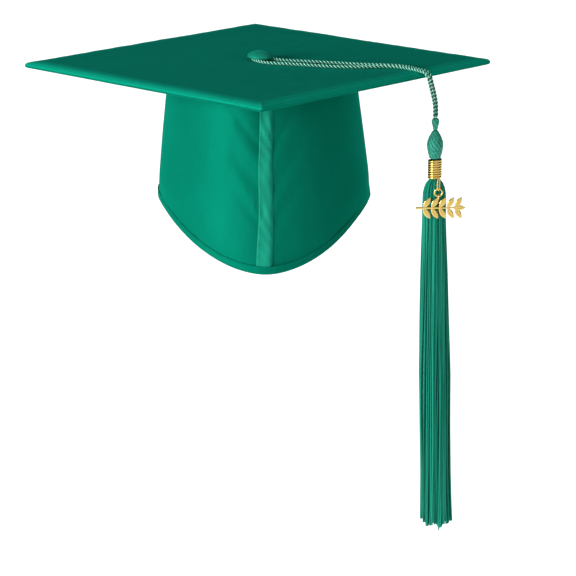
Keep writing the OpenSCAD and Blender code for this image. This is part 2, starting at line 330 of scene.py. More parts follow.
class Nodes(Tree):
    """A material's node tree with short names for what is built here."""

    def __init__(self, name):
        self.material = bpy.data.materials.new(name)
        self.material.use_nodes = True
        super().__init__(self.material.node_tree)
        self.shader = self.tree.nodes["Principled BSDF"]
        self.uv = self.add("ShaderNodeUVMap", uv_map="cloth").outputs[0]
        self.place = self.add("ShaderNodeTexCoord").outputs["Object"]
        self.shade = self.add("ShaderNodeAttribute", attribute_name="shade").outputs["Fac"]

    def uv_parts(self):
        return self.add("ShaderNodeSeparateXYZ", {0: self.uv}).outputs[:2]

    def stretch(self, source, scale):
        return self.add("ShaderNodeMapping", {"Vector": source, "Scale": scale}).outputs[0]

    def noise(self, source, scale, detail=3.0, rough=0.5):
        return self.add("ShaderNodeTexNoise", {"Vector": source, "Scale": scale, "Detail": detail,
                                               "Roughness": rough}).outputs["Fac"]

    def bands(self, thread, direction, distort):
        """Waves over the cloth, one for each thread of a width in mm."""
        return self.add("ShaderNodeTexWave", {"Vector": self.uv, "Scale": 1 / (thread * MM) / 20,
                                              "Distortion": distort, "Detail": 1.0},
                        wave_type="BANDS", bands_direction=direction).outputs["Fac"]

    def total(self, a, share_a, b, share_b):
        """Two values added, each times its share."""
        return self.math("ADD", self.math("MULTIPLY", a, share_a), self.math("MULTIPLY", b, share_b))

    def span(self, value, low, high):
        """Map a value of 0 to 1 onto low to high."""
        return self.add("ShaderNodeMapRange", {"Value": value, "To Min": low, "To Max": high}).outputs[0]

    def blend(self, factor, a, b):
        node = self.add("ShaderNodeMix", data_type="RGBA")
        self.tree.links.new(factor, node.inputs[0])
        node.inputs[6].default_value = (*a, 1)
        node.inputs[7].default_value = (*b, 1)
        return node.outputs[2]

    def relief(self, height, distance, strength=1.0, under=None):
        inputs = {"Height": height, "Distance": distance, "Strength": strength}
        if under is not None:
            inputs["Normal"] = under
        return self.add("ShaderNodeBump", inputs).outputs[0]

    def surface(self, colour=None, roughness=None, normal=None, **constants):
        """Link colour, roughness and normal, and set the shader's own constants."""
        for socket, value in (("Base Color", colour), ("Roughness", roughness), ("Normal", normal)):
            if isinstance(value, bpy.types.NodeSocket):
                self.tree.links.new(value, self.shader.inputs[socket])
            elif value is not None:
                self.shader.inputs[socket].default_value = value
        for socket, value in constants.items():
            self.shader.inputs[socket.replace("_", " ")].default_value = value
        return self.material


def satin(name, dark, light, roughness=0.47, thread=0.34, sheen=0.15):
    """Satin: fine threads along v, crossed by their ties. A shade over a half is painted light, one under
    a half painted shade.
    """
    n = Nodes(name)
    streaks = n.noise(n.stretch(n.uv, (1, 0.14, 1)), 900, 2.0)
    tone = n.noise(n.uv, 26, 3.0)
    mixed = n.total(streaks, 0.45, tone, 0.55)
    weave = n.total(n.bands(thread, "X", 0.4), 0.7, n.bands(thread * 4, "DIAGONAL", 0.8), 0.5)
    fine = n.relief(weave, 0.00003, 0.35)
    soft = n.relief(n.noise(n.uv, 75, 2.0), 0.0006, 0.35, fine)
    # Painted light and painted shade from the shade attribute: the board's rolled edge and the button
    # painted paler, the board's upright edge painted darker
    painted_light_shift = n.math("MULTIPLY", n.math("SUBTRACT", n.shade, 0.5), 0.8)
    bright = tuple(a + 4 * (b - a) for a, b in zip(dark, light))
    return n.surface(n.blend(n.math("ADD", n.span(mixed, 0.02, 0.24), painted_light_shift), dark, bright),
                     n.span(streaks, roughness - 0.06, roughness + 0.1), soft,
                     Metallic=0.22, Specular_IOR_Level=0.0, Specular_Tint=(0.0, 1.0, 0.8, 1),
                     Sheen_Weight=sheen, Sheen_Roughness=0.35, Sheen_Tint=(0.03, 1.0, 0.76, 1))


def plain_cloth(name, dark, light, thread=0.5, roughness=0.8):
    """A dull plain weave."""
    n = Nodes(name)
    weave = n.math("MULTIPLY", n.bands(thread, "X", 0.6), n.bands(thread, "Y", 0.6))
    tone = n.noise(n.uv, 60, 4.0)
    mixed = n.span(n.math("ADD", tone, n.math("MULTIPLY", weave, 0.3)), 0, 0.9)
    return n.surface(n.blend(mixed, dark, light),
                     n.span(tone, roughness - 0.08, roughness + 0.08), n.relief(weave, 0.00008, 0.6),
                     Sheen_Weight=0.2, Sheen_Roughness=0.5)


def rayon(name, dark, light, yarn, slant, roughness=0.33, contrast=0.8):
    """Glossy thread: fibres that run at a slant round each strand; u runs along it, v round it."""
    n = Nodes(name)
    u, v = n.uv_parts()
    wound = n.math("ADD", v, n.math("MULTIPLY", u, slant))
    fibre = n.math("SINE", n.math("MULTIPLY", wound, FULL_TURN / (yarn * MM)))
    loose = n.noise(n.stretch(n.uv, (0.2, 1, 1)), 2600, 2.0)
    height = n.total(fibre, 0.35, loose, 0.6)
    grain = n.total(loose, 0.7, fibre, 0.10)
    # Where the shade attribute is given, it paints shade in the grooves between plies and light on their
    # crowns
    shade = n.total(n.shade, contrast, grain, 1 - contrast * 0.7)
    return n.surface(n.blend(n.span(shade, -0.25, 1.0), dark, light),
                     n.span(loose, roughness - 0.05, roughness + 0.12), n.relief(height, 0.00006, 0.7),
                     Metallic=0.15, Specular_IOR_Level=0.12, Specular_Tint=(0.35, 1.0, 0.85, 1))


def knitted(name, dark, light, row, roughness=0.5):
    """Fine knitted thread over a bead: slanting rows of stitches, raised in the bump and painted paler in
    the colour as dots of painted highlight.
    """
    n = Nodes(name)
    u, v = n.uv_parts()
    along = n.math("MULTIPLY", u, FULL_TURN / (row * MM))
    round_it = n.math("MULTIPLY", v, FULL_TURN / (row * 0.8 * MM))
    rows = n.math("SINE", n.math("ADD", along, round_it))
    loose = n.noise(n.uv, 620, 3.0, 0.7)
    mixed = n.total(rows, 0.13, loose, 1.15)
    return n.surface(n.blend(n.span(mixed, -0.25, 1.15), dark, light),
                     n.span(loose, roughness - 0.1, roughness + 0.1), n.relief(mixed, 0.0003, 0.8),
                     Metallic=0.15, Specular_IOR_Level=0.15, Specular_Tint=(0.35, 1.0, 0.85, 1))


def chainette(name, dark, light, stitch=1.5, fold_run=5.2):
    """Tassel thread: a fine knitted chain, with stitches in pairs that meet in a v."""
    n = Nodes(name)
    u, v = n.uv_parts()
    folds = n.math("MULTIPLY", v, FULL_TURN / (fold_run * MM) * 1.5)
    fold = n.math("ABSOLUTE", n.math("SINE", folds))
    shift = n.math("MULTIPLY", fold, stitch * MM * 0.55)
    row = n.math("SINE", n.math("MULTIPLY", n.math("ADD", u, shift), FULL_TURN / (stitch * MM)))
    hair = n.noise(n.stretch(n.uv, (0.25, 1, 1)), 2400, 2.0)
    height = n.total(row, 0.4, hair, 0.5)
    knit = n.total(hair, 0.25, row, 0.10)
    shade = n.math("ADD", n.math("MULTIPLY", n.shade, 0.85), knit)
    return n.surface(n.blend(n.span(shade, -0.1, 0.9), dark, light),
                     n.span(hair, 0.40, 0.58), n.relief(height, 0.00016, 0.8),
                     Metallic=0.12, Specular_IOR_Level=0.12, Specular_Tint=(0.25, 1.0, 0.8, 1),
                     Sheen_Weight=0.05, Sheen_Roughness=0.4, Sheen_Tint=(0.05, 1.0, 0.75, 1))


def gilt(name, roughness=0.17, painted_groove_shade=False):
    """Gold plating: bright, with fine polishing marks, small dull spots and painted shade in the grooves
    where asked.
    """
    n = Nodes(name)
    marks = n.noise(n.stretch(n.place, (1, 1, 6)), 900, 3.0, 0.7)
    factor = n.span(n.noise(n.place, 260, 4.0, 0.6), 0.65, 1.0)
    if painted_groove_shade:
        # Painted shade between the coil's turns, from the shade attribute
        factor = n.math("MULTIPLY", factor, n.math("MINIMUM", n.math("MULTIPLY", n.shade, 1.3), 0.9))
    return n.surface(n.blend(factor, (0.10, 0.045, 0.008), (1.0, 0.72, 0.22)),
                     n.span(marks, roughness - 0.04, roughness + 0.14), n.relief(marks, 0.00002, 0.3),
                     Metallic=1.0)


def speckled(name, dark, light, scale, rough, roughness, depth, strength, **constants):
    """A dull material with fine specks, such as pressed card or wadding."""
    n = Nodes(name)
    specks = n.noise(n.place, scale, 5.0, rough)
    return n.surface(n.blend(n.span(specks, 0, 1), dark, light), roughness,
                     n.relief(specks, depth, strength), **constants)


def plain_steel(name):
    """Drawn steel, with marks that run along Z."""
    n = Nodes(name)
    marks = n.noise(n.stretch(n.place, (1, 1, 12)), 500, 3.0)
    return n.surface(n.blend(n.span(marks, 0, 1), (0.42, 0.42, 0.42), (0.62, 0.62, 0.61)),
                     n.span(marks, 0.28, 0.45), n.relief(marks, 0.00003, 0.3), Metallic=1.0)


SATIN = satin("green_satin", (0.0005, 0.120, 0.074), (0.0015, 0.190, 0.120))
# A paler copy of the satin, painted lighter for the light that falls on the front strip and the button
SATIN_PAINTED_PALER = satin("green_satin_painted_paler", (0.006, 0.180, 0.115), (0.012, 0.300, 0.200), sheen=0.25)
LINING = plain_cloth("green_lining", (0.002, 0.045, 0.030), (0.006, 0.090, 0.060))
# The cord's colour runs from painted shade in the grooves between its plies to a pale painted highlight on
# their crowns
CORD = rayon("twisted_rayon", (0.001, 0.066, 0.043), (0.38, 0.98, 0.76), 0.42, 0.55)
THREAD = chainette("tassel_chainette", (0.003, 0.085, 0.056), (0.022, 0.430, 0.285))
WRAP = knitted("head_thread", (0.001, 0.026, 0.018), (0.060, 0.44, 0.31), 4.0)
STITCH = rayon("sewing_thread", (0.003, 0.120, 0.080), (0.012, 0.330, 0.220), 0.2, 1.0, 0.5)
GOLD = gilt("gold_plate")
COIL_GOLD = gilt("gold_coil", painted_groove_shade=True)
CARD = speckled("grey_card", (0.30, 0.26, 0.20), (0.52, 0.47, 0.38), 1400, 0.8, 0.85, 0.0001, 0.4)
WADDING = speckled("white_wadding", (0.6724, 0.6724, 0.656), (0.82, 0.82, 0.80), 800, 0.7, 0.95, 0.0003,
                   0.6, Sheen_Weight=0.3, Sheen_Roughness=0.6)
ELASTIC = plain_cloth("white_elastic", (0.60, 0.60, 0.57), (0.80, 0.80, 0.77), 0.9, 0.85)
STEEL = plain_steel("plain_steel")

# The CAD nodes that show as they are. They have no shade attribute, so their materials don't use it
for node, material in (("board_core", CARD), ("button_shank", STEEL), ("shank_washer", STEEL),
                       ("head_bead", CARD), ("jump_ring", GOLD)):
    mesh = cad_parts[node].data
    mesh.materials.clear()
    mesh.materials.append(material)


# ---- cord ----

# The cord's thickness, its height over the origin on the board, half the way between its two runs where
# they hang, measured along X and Y, and the length in which its plies turn round each other once
STRAND_D = 2.3
CORD_Z = 101.2
LEG_OFFSET = 1.3 * sqrt(0.5)
PLY_LAY = 5.6

# The cord's route over the board, then its bend over the edge and its drop, in metres
CORD_PLAN = [
    (0.1122, -0.054), (0.1082, -0.0494), (0.105, -0.0438), (0.1004, -0.039), (0.0945, -0.0358),
    (0.088, -0.0338), (0.0808, -0.0324), (0.073, -0.0304), (0.065, -0.0278), (0.057, -0.0248),
    (0.049, -0.022), (0.041, -0.0192), (0.033, -0.0167), (0.025, -0.0145), (0.0178, -0.012),
    (0.0118, -0.0084), (0.007, -0.0038), (0.0036, 0.0006), (-0.0006, 0.0028), (-0.0048, 0.002),
    (-0.0066, -0.001), (-0.007, -0.005), (-0.0058, -0.0094), (-0.0032, -0.0138), (0.0003, -0.0178),
    (0.0048, -0.0212), (0.0106, -0.0236), (0.0174, -0.0254), (0.024, -0.0278), (0.031, -0.0308),
    (0.038, -0.0336), (0.046, -0.0364), (0.054, -0.0386), (0.062, -0.0398), (0.07, -0.04),
    (0.078, -0.0394), (0.0855, -0.0388), (0.0922, -0.0396), (0.0975, -0.0424), (0.1022, -0.0468),
    (0.1062, -0.0514), (0.1102, -0.056)]
CORD_BEND = [
    (0.1111, -0.0550, 0.1012), (0.1115, -0.0554, 0.1012), (0.1135, -0.0574, 0.1007),
    (0.1154, -0.0593, 0.099), (0.1167, -0.0606, 0.0963), (0.1173, -0.0612, 0.0935),
    (0.1174, -0.0612, 0.093)]
CORD_HANG = [(0.1196, -0.0590, 0.085), (0.1213, -0.0570, 0.076), (0.1215, -0.0568, 0.0678)]


def cord_route():
    """The whole cord in mm: up one leg, over the edge, round the button and back down the other."""
    leg = np.array(CORD_BEND + CORD_HANG) / MM
    spread = np.array([1.2] * 8 + [1.0, 0.95])
    beside = LEG_OFFSET * spread[:, None] * np.array([1, 1, 0])
    plan = np.array([(x, y, CORD_Z * MM) for x, y in CORD_PLAN]) / MM
    return np.vstack([(leg + beside)[::-1][:-2], plan[1:-1], (leg - beside)[2:]])


def make_cord():
    """Two plies twisted round each other along the cord's route."""
    centre = smooth_path(cord_route(), 0.42)
    _, side, out = frames(centre)
    length = run_along(centre)
    # Painted light: the ply crowns are painted paler where the cord lies on the board than down its
    # hanging legs
    glow = 0.56 + 0.44 * ease(centre[:, 2], CORD_Z - 9, CORD_Z - 1)
    shape = Shape()
    for phase in (0, pi):
        turn = length / PLY_LAY * FULL_TURN + phase
        offset = np.cos(turn)[:, None] * side + np.sin(turn)[:, None] * out
        shape.tube(centre + offset * STRAND_D * 0.26, STRAND_D * 0.255, 10, crest=offset * glow[:, None])
    piece = shape.make("tassel_cord", CORD, None, "cord", "cord_on_board", "cord_over_edge", "cord_drop")
    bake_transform(piece)
    path = smooth_path(cord_route(), 4.0) * MM


make_cord()


# ---- board ----

def rounded_square(inset, count=60):
    """Points round the board's rounded square, inset from its edge, with a count for each side."""
    r = max(corner_r - inset, 0.4)
    h = half_side - inset
    points = []
    for quarter in range(4):
        start = pi / 4 + quarter * pi / 2
        corner = np.array([cos(start), sin(start)]) * (h - r) * sqrt(2)
        next_corner = np.array([-corner[1], corner[0]])
        edge = (corner + next_corner) / np.linalg.norm(corner + next_corner)
        before = np.array([edge[1], -edge[0]])
        for k in range(5):
            a = atan2(before[1], before[0]) + k / 5 * pi / 2
            points.append(corner + r * np.array([cos(a), sin(a)]))
        for k in range(count - 5):
            t = k / (count - 5)
            points.append((1 - t) * (corner + r * edge) + t * (next_corner + r * edge))
    spun = np.array(points)
    turn = pi / 4
    turned = np.stack([spun[:, 0] * cos(turn) - spun[:, 1] * sin(turn),
                       spun[:, 0] * sin(turn) + spun[:, 1] * cos(turn)], 1)
    return turned + board_centre[:2]


def board_layer(name, material, slot, node, rings, *ends, shade=0.5):
    """A layer of the board from its rings of points, closed at those of its ends that are given."""
    shape = Shape()
    shape.grid(rings, np.arange(len(rings)), np.arange(len(rings[0]) + 1), wrap_v=True, shade=shade)
    shape.close(*(rings[end] for end in ends))
    return shape.make(name, material, "cap", slot, node)


def make_top_cover():
    """Satin drawn over the wadding: a soft crown, a rolled edge and small pulls along the seam."""
    roll_in, roll_down = 8.5, 2.9
    profile = [(d, 0) for d in np.arange(half_side - 2, 13, -3.0)] + [(11.5, 0), (10, 0)]
    for a in np.radians(np.concatenate([np.linspace(0, 60, 9), np.linspace(65, 90, 6)])):
        profile.append((roll_in * (1 - sin(a)), roll_down * (1 - cos(a))))
    profile += [(0.0, 3.3), (0.12, 3.8), (0.45, 4.3), (1.0, 4.62), (1.8, 4.8), (2.6, 4.88)]
    per_side = 110
    run = np.arange(4 * per_side) * 2 * half_side / per_side
    pull = waves(run, 0 * run, 13, 22, 7)
    swell = waves(run, 0 * run, 14, 90, 35)
    rings = []
    for inset, drop in profile:
        flat = rounded_square(inset, per_side)
        x, y = flat[:, 0], flat[:, 1]
        inside = 1 - exp(-(inset / 14) ** 2)
        sway = waves(x, y, 11, 170, 70) * 0.22 + waves(x, y, 12, 44, 18) * 0.07 - 0.22
        button_pull = -0.30 * np.exp(-((x - button_at[0]) ** 2 + (y - button_at[1]) ** 2) / 15 ** 2)
        low = min(drop / 3, 1)
        out = (0.16 * pull + 0.28 * swell) * (0.25 + 0.75 * low) * exp(-(inset / 9) ** 2)
        away = flat - board_centre[:2]
        away = away / np.linalg.norm(away, axis=1)[:, None]
        edge_ripple = (0.10 * pull + 0.12 * swell) * exp(-((inset - 4) / 5) ** 2) * (drop < 3)
        z = board_top - drop + (sway + button_pull) * inside + edge_ripple - 0.05
        rings.append(np.column_stack([flat + away * (out - 0.1)[:, None], z]))
    inset, drop = np.array(profile).T
    # Painted highlight on the rolled edge and painted shade on the upright edge under it, carried by the
    # shade attribute
    shade = 1.0 - 0.5 * ease(inset, 6.5, 13) + 0.55 * bump(inset, 2.4, 2.4) - 0.9 * ease(drop, 2.0, 4.0)
    piece = board_layer("board_top_satin", SATIN, "satin", "top_cover", rings, 0, shade=shade[:, None])
    plan_uv(piece, pi / 4)


def make_wadding():
    """The thin pad between the card and the satin, with soft edges."""
    inner = 1.9
    profile = [(60, 98.9), (12, 98.9), (inner + 3, 98.85), (inner + 1.2, 98.7), (inner + 0.3, 98.5),
               (inner, 98.35), (inner + 0.3, 98.24), (inner + 2, 98.22), (60, 98.22)]
    rings = []
    for inset, z in profile:
        flat = rounded_square(inset, 60)
        lint = 0.06 * waves(flat[:, 0], flat[:, 1], 15, 30, 8) if z > 98.6 else 0
        rings.append(np.column_stack([flat, np.full(len(flat), z) + lint]))
    piece = board_layer("wadding_layer", WADDING, "wadding", "board_padding", rings, 0, -1)


def plan_uv(piece, turn):
    """Lay the weave flat: uvs from the plan, turned by an angle."""
    mesh = piece.data
    co = np.empty(len(mesh.vertices) * 3, np.float32)
    mesh.vertices.foreach_get("co", co)
    co = co.reshape(-1, 3)
    index = np.empty(len(mesh.loops), np.int32)
    mesh.loops.foreach_get("vertex_index", index)
    x, y = co[index, 0], co[index, 1]
    c, sn = cos(turn), sin(turn)
    uv = np.stack([x * c + y * sn, y * c - x * sn], 1)
    mesh.uv_layers["cloth"].data.foreach_set("uv", uv.astype(np.float32).ravel())


def make_under_cover():
    """Satin under the board, gathered a little toward the skull cap's seam."""
    profile = [(1.6, 0.45), (2.0, 0.2), (2.8, 0), (4.2, 0)]
    profile += [(d, 0) for d in np.arange(6, half_side - 20, 3.5)] + [(half_side - 14, 0)]
    per_side = 90
    rings = []
    for inset, lift in profile:
        flat = rounded_square(inset, per_side)
        x, y = flat[:, 0], flat[:, 1]
        turn = np.arctan2(y, x)
        reach = np.hypot(x / crown_a, y / crown_b)
        gather = np.sin(turn * 46 + 2 * np.sin(turn * 5)) * bump(reach, 1.05, 0.22)
        z = board_bottom - 0.12 + lift + waves(x, y, 21, 120, 30) * 0.09 - 0.16 + gather * 0.16
        rings.append(np.column_stack([flat, z]))
    piece = board_layer("board_under_satin", SATIN, "satin", "bottom_cover", rings, -1)
    plan_uv(piece, pi / 4)


make_wadding()
make_top_cover()
make_under_cover()


# ---- skull cap ----

def half_widths(z):
    """The wall's half width and half length at a height."""
    share = z / wall_top
    return rim_a + (crown_a - rim_a) * share, rim_b + (crown_b - rim_b) * share


def rim_z(t):
    """Height of the rim at an angle from the front in degrees."""
    t = (np.asarray(t, float) + 180) % 360 - 180
    dip = -peak_dip / 2 * (1 + np.cos(np.radians(180 * t / peak_angle)))
    return np.where(np.abs(t) < peak_angle, dip, 0.0)


def wall_point(t, z, out):
    """Points of the wall at an angle in degrees, a height and a distance out from its outer face."""
    a, b = half_widths(z)
    rad = np.radians(t)
    return np.stack(np.broadcast_arrays((a + out) * np.sin(rad), -(b + out) * np.cos(rad), z), -1)


def arc_mm(t):
    """Distance round the wall from the front seam, roughly, for an angle in degrees."""
    t = np.asarray(t, float)
    fine = np.radians(np.linspace(-360, 360, 2881))
    a, b = (rim_a + crown_a) / 2, (rim_b + crown_b) / 2
    step = np.hypot(a * np.cos(fine), b * np.sin(fine)) * (fine[1] - fine[0])
    run = np.cumsum(step)
    run -= np.interp(0, fine, run)
    return np.interp(np.radians(t), fine, run)


def floor_at(out, least, soft=0.25):
    """Keep a distance above the least one, with a soft knee."""
    return least + soft * np.logaddexp(0, (out - least) / soft)


def seam_ridge(off):
    """The front seam stands a little proud, so the panels meet at a soft edge."""
    return 1.5 * bump(off, 0, 15)


# The pulls that run into the front seam: height, depth (less than 0 stands out) and width
PULLS = ((50, 0.95, 4.5), (21, 0.8, 6), (-3, 0.6, 5), (38, -0.6, 6), (8, -0.6, 6))


def front_folds(t, z, seed):
    """How far the front satin stands out: pulls that run down into the seam, slack and creases."""
    run = arc_mm(t)
    side = np.sign(run)
    off = np.abs(run)
    height = z - rim_z(t)
    drop = wall_top - z
    edge = np.minimum(ease(height, 0, 9), ease(drop, 0, 4))
    line = z - off * 1.2 + 1.2 * np.sin(off / 7 + seed)
    pulls = 0
    for at, depth, wide in PULLS:
        pulls = pulls - depth * bump(line, at, wide)
    pulls = pulls * np.exp(-(off / 18) ** 1.7) * ease(off, -4, 5)
    tucks = np.sin((z - off * 0.5) / 6.3 * FULL_TURN + 1.5 * np.sin(z / 7.7)) * np.exp(-(off / 6) ** 1.2)
    slack = waves(run + z * 0.55 * side, z * 0.5, seed, 120, 46)
    creases = waves(run + z * 0.3 * side, z * 0.25, seed + 1, 30, 11)
    top_gather = waves(run, drop * 0.12, seed + 2, 16, 6) * bump(drop, 0, 12)
    hem_gather = waves(run, height * 0.1, seed + 3, 12, 5) * bump(height, 0, 11)
    belly = 1.0 * ease(off, 0, 40) * ease(height, 0, 20) * ease(drop, -4, 20)
    hollow = -1.9 * bump(off, 0, 8) * np.exp(-(drop / 42) ** 4) * (side < 0)
    flare = (1.4 - 3.2 * z / wall_top) * ease(run, 45, 110) * (1 - ease(t, 98, back_seam))
    out = seam_ridge(off) + belly + pulls + hollow + flare + 0.12 * tucks
    out = out + 0.62 * slack * edge + 0.10 * creases * (0.3 + edge) + 0.16 * (top_gather + hem_gather)
    return floor_at(np.minimum(out, seam_ridge(off) + 0.3 + 4 * ease(off, 5, 16)), -0.55)


def back_folds(t, z, seed):
    """Upright folds where the elastic draws the back of the rim in."""
    run = arc_mm(t)
    middle = 1 - ease(np.abs(np.asarray(t) - 180), 42, 64)
    draw = np.exp(-(z / 30) ** 1.6) * middle
    pleat = np.sin(run / 7.4 * FULL_TURN + 2.1 * np.sin(run / 19) + z * 0.015)
    folds = (np.abs(pleat) ** 0.8 * np.sign(pleat)) * (1 + 0.3 * np.sin(run / 11))
    high = bump(z, 0, 52) * middle * np.sin(run / 14.8 * FULL_TURN + 1.3 * np.sin(run / 31))
    slack = waves(run, z * 0.6, seed, 100, 36)
    fine = waves(run, z * 0.12, seed + 1, 20, 8)
    out = 0.85 * folds * draw + 0.5 * high + 0.7 * slack * ease(z, 0, 14) + 0.15 * fine
    return floor_at(out + 0.2, -0.5)


def inner_folds(t, z, seed):
    """The lining hangs a little slack inside the wall."""
    run = arc_mm(t)
    edge = ease(z - rim_z(t), 0, 8) * ease(wall_top - z, 0, 6)
    slack = waves(run, z * 0.6, seed, 80, 26)
    return -(0.5 + 0.5 * slack) * 1.1 * edge


def flat_folds(t, z, seed):
    """The stiffening is nearly smooth."""
    return 0.12 * waves(arc_mm(t), z, seed, 90, 30)


def ribbed(t, z, seed):
    """The elastic's ribs, and the gathers it draws in."""
    run = arc_mm(t)
    return 0.16 * np.sin(z / 1.7 * FULL_TURN) + 0.12 * waves(run, z * 0.1, seed, 16, 6)


def wall_sheet(name, node, span, folds, seed, layer):
    """A sheet with folds over a stretch of the wall between two angles, as deep in it as its layer."""
    depth, low_lift, high, step, rows, material, slot = layer
    run0, run1 = arc_mm(span)
    t = np.linspace(*span, round((run1 - run0) / step))
    low = rim_z(t) + low_lift
    z = low[:, None] + (high - low)[:, None] * np.linspace(0, 1, rows)[None, :]
    tt = np.broadcast_to(t[:, None], z.shape)
    shape = Shape()
    shape.grid(wall_point(tt, z, folds(tt, z, seed) - depth), arc_mm(t), np.linspace(0, 110, rows))
    piece = shape.make(name, material, "cap", slot, node)


def make_walls():
    """The wall's satin, stiffening, elastic and lining."""
    gap = 0.15
    left, right = (-back_seam, -gap), (gap, back_seam)
    back = (back_seam + gap, 360 - back_seam - gap)
    inside = wall_top - 0.3
    # Each layer: its depth in the wall, lift off the rim, top, column spacing, rows, material and slot
    outer = (0.1, 0.8, wall_top + 0.95, 1.15, 92, SATIN, "satin")
    stiff = (1.5, 2, inside, 2.4, 46, WADDING, "wadding")
    elastic = (1.5, 2, 12, 1.6, 40, ELASTIC, "elastic")
    inner = (2.2, 0.8, inside, 2.4, 46, LINING, "lining")
    wall_sheet("left_satin", "left_panel", left, front_folds, 31, outer)
    wall_sheet("right_satin", "right_panel", right, front_folds, 44, outer)
    wall_sheet("back_satin", "back_panel", back, back_folds, 51, outer)
    wall_sheet("left_stiffening", "left_interlining", left, flat_folds, 61, stiff)
    wall_sheet("right_stiffening", "right_interlining", right, flat_folds, 62, stiff)
    wall_sheet("elastic_strip", "elastic_band", back, ribbed, 63, elastic)
    wall_sheet("left_lining_cloth", "left_lining", left, inner_folds, 71, inner)
    wall_sheet("right_lining_cloth", "right_lining", right, inner_folds, 72, inner)
    wall_sheet("back_lining_cloth", "back_lining", back, inner_folds, 73, inner)


# The front strip's angle from the front, and its section: places across it and how far each stands out
STRIP_AT = 0.9
STRIP_ACROSS = [-0.5, -0.53, -0.5, -0.46, -0.40, -0.3, -0.15, 0.02, 0.18, 0.3, 0.38, 0.45, 0.51, 0.57]
STRIP_LIFT = [0.05, 0.6, 1.0, 1.25, 1.1, 0.95, 1.0, 1.15, 1.3, 1.35, 1.25, 0.95, 0.5, 0.05]


def strip_place(fall):
    """The front strip's width, and how far it sits to one side, from the board (0) to the rim (1)."""
    return welt_w * (1.32 + 0.22 * fall), -0.3 - 2.7 * np.clip(fall, 0, 1) ** 1.3


def strip_angle(across):
    """The angle from the front of a place so far across the strip."""
    return STRIP_AT + across / rim_b * 180 / pi


def make_front_strip():
    """A folded strip over the front seam: one edge a full fold, the other lying flat and stitched."""
    seed = 1.3
    low = rim_z(np.array([STRIP_AT]))[0] + 4.6
    z = np.linspace(low, wall_top + 0.6, 150)
    width, shift = strip_place(np.clip((wall_top - z) / (wall_top - low), 0, 1))
    shift = shift + 0.3 * np.sin(z / 12 + seed)
    s = np.array(STRIP_ACROSS)
    zz, ss = np.meshgrid(z, s)
    _, high = np.meshgrid(z, STRIP_LIFT)
    across = ss * width[None, :] + shift[None, :]
    tuck = np.sin(zz / 13 * FULL_TURN + 2.2 * np.sin(zz / 10 + seed) + ss * 9.0)
    tuck = tuck * (0.35 + 0.65 * np.sin(zz / 19 + seed) ** 2)
    wide = np.sin(zz / 31 * FULL_TURN + seed - ss * 4.0)
    out = high + (0.26 * tuck + 0.22 * wide) * np.minimum(high, 1) + seam_ridge(np.abs(across))
    lean = (0.35 * np.sin(zz / 19 + seed) + 0.15 * np.sin(zz / 7.3)) * (ss < 0)
    shape = Shape()
    shape.grid(wall_point(strip_angle(across + lean), zz, out), s * welt_w, z)
    # The strip's satin is the paler copy, painted lighter for the light on it
    piece = shape.make("front_seam_strip", SATIN_PAINTED_PALER, "cap", "satin", "front_seam_welt")
    z = np.linspace(rim_z(np.array([0.0]))[0] + 5.2, wall_top - 0.5, 120)
    width, shift = strip_place((wall_top - z) / (z[-1] - z[0]))
    across = 0.46 * width + shift
    stitches("front_seam_stitches", strip_angle(across), z, 0.85 + seam_ridge(across))


def stitches(name, t, z, out, length=2.1, gap=0.7, thick=0.2):
    """A row of stitches along a line on the wall, each a short thread that dips in at its ends."""
    points = wall_point(t, z, out)
    outward = wall_point(t, z, out + 1) - points
    run = run_along(points)
    rise = np.array([-0.25, 0.05, 0.14, 0.14, 0.05, -0.25])
    shape = Shape()
    for start in np.arange(0, run[-1] - length, length + gap):
        at = start + np.linspace(0, length, len(rise))
        line = np.stack([np.interp(at, run, points[:, k]) for k in range(3)], 1)
        way = np.stack([np.interp(at, run, outward[:, k]) for k in range(3)], 1)
        shape.tube(line + way * rise[:, None], thick, 5, caps=False)
    shape.make(name, STITCH, "cap", "thread")


def make_binding():
    """Cloth rolled round the rim, with gathers and a row of stitches."""
    profile = np.array([(-0.7, 5.0), (0.0, 5.5), (0.50, 5.55), (0.72, 5.2), (0.50, 4.6), (0.30, 3.8),
                        (0.42, 2.6), (0.40, 1.4), (0.15, 0.5), (-0.3, -0.1), (-0.8, -0.35), (-1.5, -0.4),
                        (-2.3, -0.15), (-2.85, 0.4), (-3.1, 1.3), (-3.2, 2.6), (-3.1, 3.8), (-2.5, 4.3)])
    n = 520
    t = np.arange(n) / n * 360 - 180
    low = rim_z(t)
    run = arc_mm(t)
    back = 1 - ease(180 - np.abs(t), 42, 64)
    tt, out = np.meshgrid(t, profile[:, 0], indexing="ij")
    z = low[:, None] + profile[None, :, 1]
    gather = waves(run, 0 * run, 81, 9, 3.5)
    pleat = np.sin(run / 3.7 * FULL_TURN + 1.5 * np.sin(run / 17)) * back
    belly = np.clip(profile[:, 0] + 0.3, 0, 1)
    ridge = 1.05 * seam_ridge(np.abs(run)) + 1.1 * bump(run, 0, 10)
    out = out + (0.07 * gather + 0.30 * pleat)[:, None] * belly[None, :]
    out = out + ridge[:, None] * (profile[:, 0] > -2)[None, :]
    z = z + (0.12 * waves(run, 0 * run, 82, 60, 20))[:, None]
    shape = Shape()
    rim_run = 560
    shape.grid(wall_point(tt, z, out), np.append(run, run[0] + rim_run), run_along(profile), wrap_u=True)
    piece = shape.make("rim_binding", SATIN, "cap", "satin", "hem_binding")
    line_t = np.linspace(0, 360, 721)
    stitches("binding_stitches", line_t, rim_z(line_t) + 4.1, 0.35)


